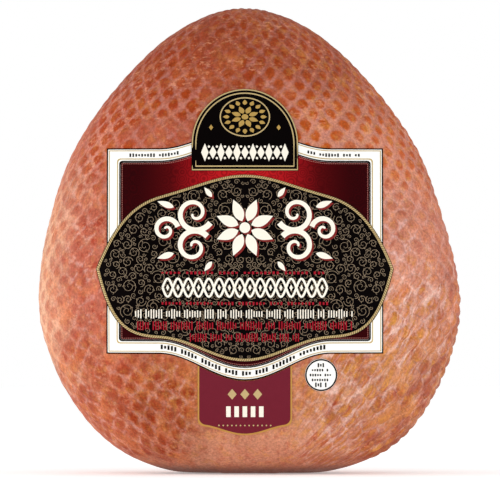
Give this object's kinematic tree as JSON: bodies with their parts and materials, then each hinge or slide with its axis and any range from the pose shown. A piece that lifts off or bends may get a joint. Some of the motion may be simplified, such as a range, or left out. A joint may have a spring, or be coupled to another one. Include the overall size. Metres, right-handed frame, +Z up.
{
  "type": "whole boneless ham",
  "caption": "Whole boneless smoked ham, egg-shaped and standing on its broad flat end, marked all over by its cooking net, with a printed label and a round seal on its front",
  "frame": {"origin": "on the flat foot that the ham stands on, below its middle", "axes": "+Z up from the foot to the narrow crown, +X to the right of someone who faces the label, and the label faces -Y"},
  "size_m": [0.2097, 0.142, 0.2303],
  "materials": {
    "cooked_ham": "moist cooked meat, orange-brown on the pads and pale pink along the net marks",
    "white_print": "satin printed film, white",
    "black_print": "satin printed film, black with gold ornament",
    "burgundy_print": "satin printed film, burgundy"
  },
  "bodies": {
    "root": {"ham": "cooked_ham", "label_panel": "white_print", "label_plaque": "black_print", "label_badge": "black_print", "label_tab": "burgundy_print", "label_seal": "white_print"}
  },
  "joints": []
}
